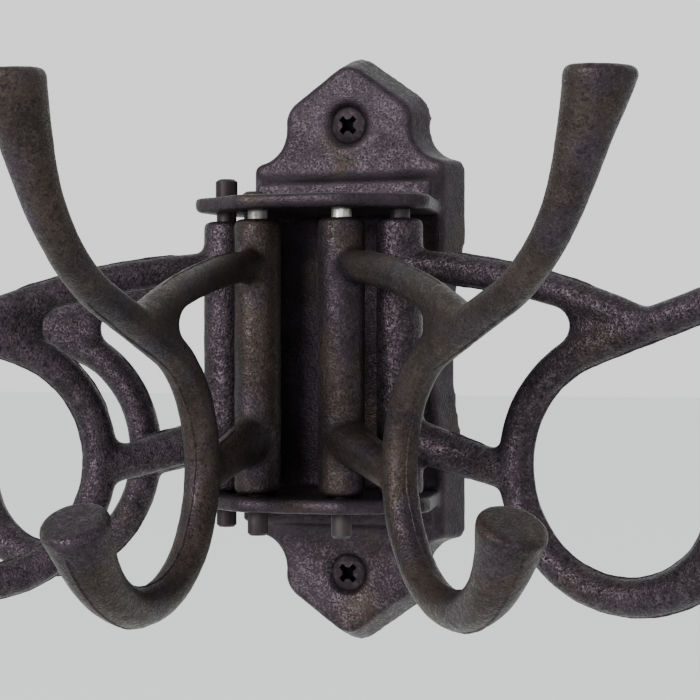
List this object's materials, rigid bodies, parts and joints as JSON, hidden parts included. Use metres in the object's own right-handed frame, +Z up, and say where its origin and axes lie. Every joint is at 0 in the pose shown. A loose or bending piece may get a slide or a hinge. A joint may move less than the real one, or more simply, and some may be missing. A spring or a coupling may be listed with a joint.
{
  "type": "folding wall hook",
  "caption": "Cast wall plate with two shelves and swinging double-hook arms on upright hinge pins, for hanging coats, hats and straps.",
  "frame": {"origin": "centre of the plate's back face, on the wall", "axes": "+X to the right seen from the room, +Y into the wall, +Z up"},
  "size_m": [0.3018, 0.1944, 0.1526],
  "materials": {
    "casting": "dark brown-black, sand-cast, satin",
    "pin_steel": "darkened bare steel",
    "screw": "black oxide, satin"
  },
  "bodies": {
    "plate": {"backplate": "casting", "front_pins": "pin_steel", "side_pins": "pin_steel", "back_pin": "pin_steel", "wall_screws": "screw"},
    "swing_front_left": {"arm_front_left": "casting"},
    "swing_front_right": {"arm_front_right": "casting"},
    "swing_side_left": {"arm_side_left": "casting"},
    "swing_side_right": {"arm_side_right": "casting"},
    "swing_back_left": {"arm_back_left": "casting"}
  },
  "joints": [
    {"name": "hinge_front_left", "type": "hinge", "parent": "plate", "child": "swing_front_left", "pos_m": [-0.0111, -0.0423, 0], "axis": [0, 0, 1], "range_deg": [-26.2, 19.8]},
    {"name": "hinge_front_right", "type": "hinge", "parent": "plate", "child": "swing_front_right", "pos_m": [0.0111, -0.0423, 0], "axis": [0, 0, 1], "range_deg": [-20, 11]},
    {"name": "hinge_side_left", "type": "hinge", "parent": "plate", "child": "swing_side_left", "pos_m": [-0.0232, -0.0342, 0], "axis": [0, 0, 1], "range_deg": [-33.3, 16.7]},
    {"name": "hinge_side_right", "type": "hinge", "parent": "plate", "child": "swing_side_right", "pos_m": [0.0232, -0.0342, 0], "axis": [0, 0, 1], "range_deg": [-13.6, 13.4]},
    {"name": "hinge_back_left", "type": "hinge", "parent": "plate", "child": "swing_back_left", "pos_m": [-0.0226, -0.0188, 0], "axis": [0, 0, 1], "range_deg": [-0.4, 8.5]}
  ]
}
